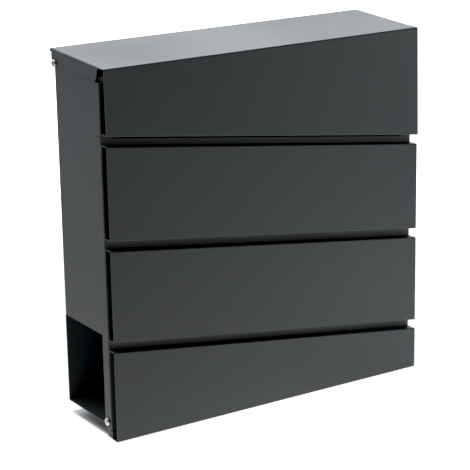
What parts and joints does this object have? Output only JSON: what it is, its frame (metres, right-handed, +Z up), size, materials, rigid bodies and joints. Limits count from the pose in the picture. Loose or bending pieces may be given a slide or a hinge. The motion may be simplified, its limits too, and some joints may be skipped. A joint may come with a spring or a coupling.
{
  "type": "wall-mounted letterbox",
  "caption": "Wall-hung sheet-steel letterbox with a hinged hood lid, a bottom-hung front door carrying slanted decorative panels, a cam lock and an open-ended newspaper compartment.",
  "frame": {"origin": "centre of the back plate's rear face, against the wall", "axes": "+X to the right seen from the front, +Y back into the wall, +Z up; the front faces -Y"},
  "size_m": [0.3754, 0.1113, 0.3777],
  "materials": {
    "anthracite_coat": "satin, fine-textured powder coat on 1 mm steel sheet",
    "zinc_steel": "bright zinc-plated fasteners, rivets and cam",
    "nickel_plate": "nickel-plated die-cast lock",
    "nylon": "black nylon washers",
    "rubber": "black rubber stud buffers"
  },
  "bodies": {
    "body": {"body_shell": "anthracite_coat", "compartment_shelf": "anthracite_coat", "front_fascia": "anthracite_coat", "lock_housing": "nickel_plate", "lock_nut": "nickel_plate", "lid_hinge_screw_left": "zinc_steel", "lid_hinge_screw_right": "zinc_steel", "lid_hinge_washer_left": "nylon", "lid_hinge_washer_right": "nylon", "lid_hinge_nut_left": "zinc_steel", "lid_hinge_nut_right": "zinc_steel", "door_hinge_screw_left": "zinc_steel", "door_hinge_screw_right": "zinc_steel", "door_hinge_washer_left": "nylon", "door_hinge_washer_right": "nylon", "door_hinge_nut_left": "zinc_steel", "door_hinge_nut_right": "zinc_steel"},
    "lid": {"lid": "anthracite_coat", "lid_buffer_left": "rubber", "lid_buffer_right": "rubber"},
    "door": {"door_leaf": "anthracite_coat", "panel_upper": "anthracite_coat", "panel_middle": "anthracite_coat", "panel_lower": "anthracite_coat", "keeper_bracket": "anthracite_coat", "keeper_rivet_left": "zinc_steel", "keeper_rivet_right": "zinc_steel"},
    "lock_barrel": {"lock_plug": "nickel_plate", "lock_cam": "zinc_steel", "lock_cam_screw": "zinc_steel"}
  },
  "joints": [
    {"name": "lid_hinge", "type": "hinge", "parent": "body", "child": "lid", "pos_m": [0, -0.0048, 0.17335], "axis": [-1, 0, 0], "range_deg": [0, 90]},
    {"name": "door_hinge", "type": "hinge", "parent": "body", "child": "door", "pos_m": [0, -0.0862, -0.17375], "axis": [1, 0, 0], "range_deg": [0, 92]},
    {"name": "lock_turn", "type": "hinge", "parent": "body", "child": "lock_barrel", "pos_m": [0, -0.093, 0.11635], "axis": [0, 1, 0], "range_deg": [0, 90]}
  ]
}
